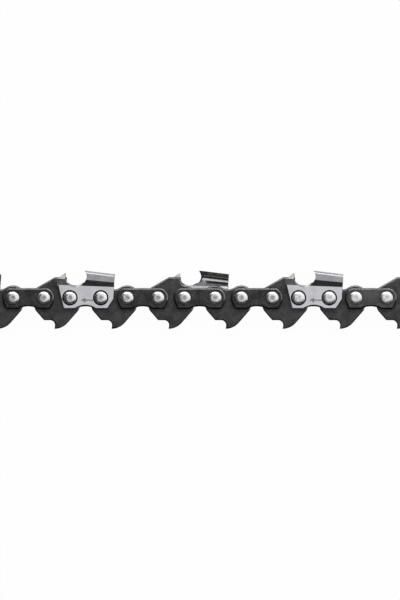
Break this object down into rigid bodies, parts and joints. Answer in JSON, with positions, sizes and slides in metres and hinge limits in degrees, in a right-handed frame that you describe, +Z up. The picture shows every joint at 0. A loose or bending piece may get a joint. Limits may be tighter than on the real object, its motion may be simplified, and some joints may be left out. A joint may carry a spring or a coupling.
{
  "type": "chainsaw chain",
  "caption": "Straight stretch of low-profile saw chain: guarded drive links, chromed left and right cutters, tie straps and rivets, bending at every pivot, with an open hole at each end.",
  "frame": {"origin": "centre of the open rivet hole of the foremost drive link, at the middle plane of the chain", "axes": "+X along the chain against its travel, +Y from the tangs to the cutters, +Z up along the rivets, so that the chain lies on its side"},
  "size_m": [0.1657, 0.0191, 0.0066],
  "materials": {
    "dark_steel": "black-oxide steel, satin, with brighter worn edges",
    "chromed_steel": "satin hard chrome over formed steel",
    "rivet_steel": "bright headed steel"
  },
  "bodies": {
    "drive_1": {"guard_drive_link_1": "dark_steel"},
    "drive_2": {"drive_link_2": "dark_steel"},
    "drive_3": {"guard_drive_link_3": "dark_steel"},
    "drive_4": {"drive_link_4": "dark_steel"},
    "drive_5": {"guard_drive_link_5": "dark_steel"},
    "drive_6": {"drive_link_6": "dark_steel"},
    "drive_7": {"guard_drive_link_7": "dark_steel"},
    "drive_8": {"drive_link_8": "dark_steel"},
    "drive_9": {"guard_drive_link_9": "dark_steel"},
    "outer_1": {"left_strap_1": "dark_steel", "right_cutter_1": "chromed_steel", "rivet_1_front": "rivet_steel", "rivet_1_rear": "rivet_steel"},
    "outer_2": {"left_strap_2": "dark_steel", "right_strap_2": "dark_steel", "rivet_2_front": "rivet_steel", "rivet_2_rear": "rivet_steel"},
    "outer_3": {"left_cutter_3": "chromed_steel", "right_strap_3": "dark_steel", "rivet_3_front": "rivet_steel", "rivet_3_rear": "rivet_steel"},
    "outer_4": {"left_strap_4": "dark_steel", "right_strap_4": "dark_steel", "rivet_4_front": "rivet_steel", "rivet_4_rear": "rivet_steel"},
    "outer_5": {"left_strap_5": "dark_steel", "right_cutter_5": "chromed_steel", "rivet_5_front": "rivet_steel", "rivet_5_rear": "rivet_steel"},
    "outer_6": {"left_strap_6": "dark_steel", "right_strap_6": "dark_steel", "rivet_6_front": "rivet_steel", "rivet_6_rear": "rivet_steel"},
    "outer_7": {"left_cutter_7": "chromed_steel", "right_strap_7": "dark_steel", "rivet_7_front": "rivet_steel", "rivet_7_rear": "rivet_steel"},
    "outer_8": {"left_strap_8": "dark_steel", "right_strap_8": "dark_steel", "rivet_8_front": "rivet_steel", "rivet_8_rear": "rivet_steel"}
  },
  "joints": [
    {"name": "front_pivot_5", "type": "hinge", "parent": "outer_5", "child": "drive_5", "pos_m": [0.08315, 0, 0], "axis": [0, 0, 1], "range_deg": [-20, 30]},
    {"name": "rear_pivot_4", "type": "hinge", "parent": "drive_5", "child": "outer_4", "pos_m": [0.07456, 0, 0], "axis": [0, 0, 1], "range_deg": [-20, 30]},
    {"name": "front_pivot_4", "type": "hinge", "parent": "outer_4", "child": "drive_4", "pos_m": [0.06451, 0, 0], "axis": [0, 0, 1], "range_deg": [-20, 30]},
    {"name": "rear_pivot_3", "type": "hinge", "parent": "drive_4", "child": "outer_3", "pos_m": [0.05592, 0, 0], "axis": [0, 0, 1], "range_deg": [-20, 30]},
    {"name": "front_pivot_3", "type": "hinge", "parent": "outer_3", "child": "drive_3", "pos_m": [0.04587, 0, 0], "axis": [0, 0, 1], "range_deg": [-20, 30]},
    {"name": "rear_pivot_2", "type": "hinge", "parent": "drive_3", "child": "outer_2", "pos_m": [0.03728, 0, 0], "axis": [0, 0, 1], "range_deg": [-20, 30]},
    {"name": "front_pivot_2", "type": "hinge", "parent": "outer_2", "child": "drive_2", "pos_m": [0.02723, 0, 0], "axis": [0, 0, 1], "range_deg": [-20, 30]},
    {"name": "rear_pivot_1", "type": "hinge", "parent": "drive_2", "child": "outer_1", "pos_m": [0.01864, 0, 0], "axis": [0, 0, 1], "range_deg": [-20, 30]},
    {"name": "front_pivot_1", "type": "hinge", "parent": "outer_1", "child": "drive_1", "pos_m": [0.00859, 0, 0], "axis": [0, 0, 1], "range_deg": [-20, 30]},
    {"name": "rear_pivot_5", "type": "hinge", "parent": "outer_5", "child": "drive_6", "pos_m": [0.0932, 0, 0], "axis": [0, 0, 1], "range_deg": [-30, 20]},
    {"name": "front_pivot_6", "type": "hinge", "parent": "drive_6", "child": "outer_6", "pos_m": [0.10179, 0, 0], "axis": [0, 0, 1], "range_deg": [-30, 20]},
    {"name": "rear_pivot_6", "type": "hinge", "parent": "outer_6", "child": "drive_7", "pos_m": [0.11184, 0, 0], "axis": [0, 0, 1], "range_deg": [-30, 20]},
    {"name": "front_pivot_7", "type": "hinge", "parent": "drive_7", "child": "outer_7", "pos_m": [0.12043, 0, 0], "axis": [0, 0, 1], "range_deg": [-30, 20]},
    {"name": "rear_pivot_7", "type": "hinge", "parent": "outer_7", "child": "drive_8", "pos_m": [0.13048, 0, 0], "axis": [0, 0, 1], "range_deg": [-30, 20]},
    {"name": "front_pivot_8", "type": "hinge", "parent": "drive_8", "child": "outer_8", "pos_m": [0.13907, 0, 0], "axis": [0, 0, 1], "range_deg": [-30, 20]},
    {"name": "rear_pivot_8", "type": "hinge", "parent": "outer_8", "child": "drive_9", "pos_m": [0.14912, 0, 0], "axis": [0, 0, 1], "range_deg": [-30, 20]}
  ]
}
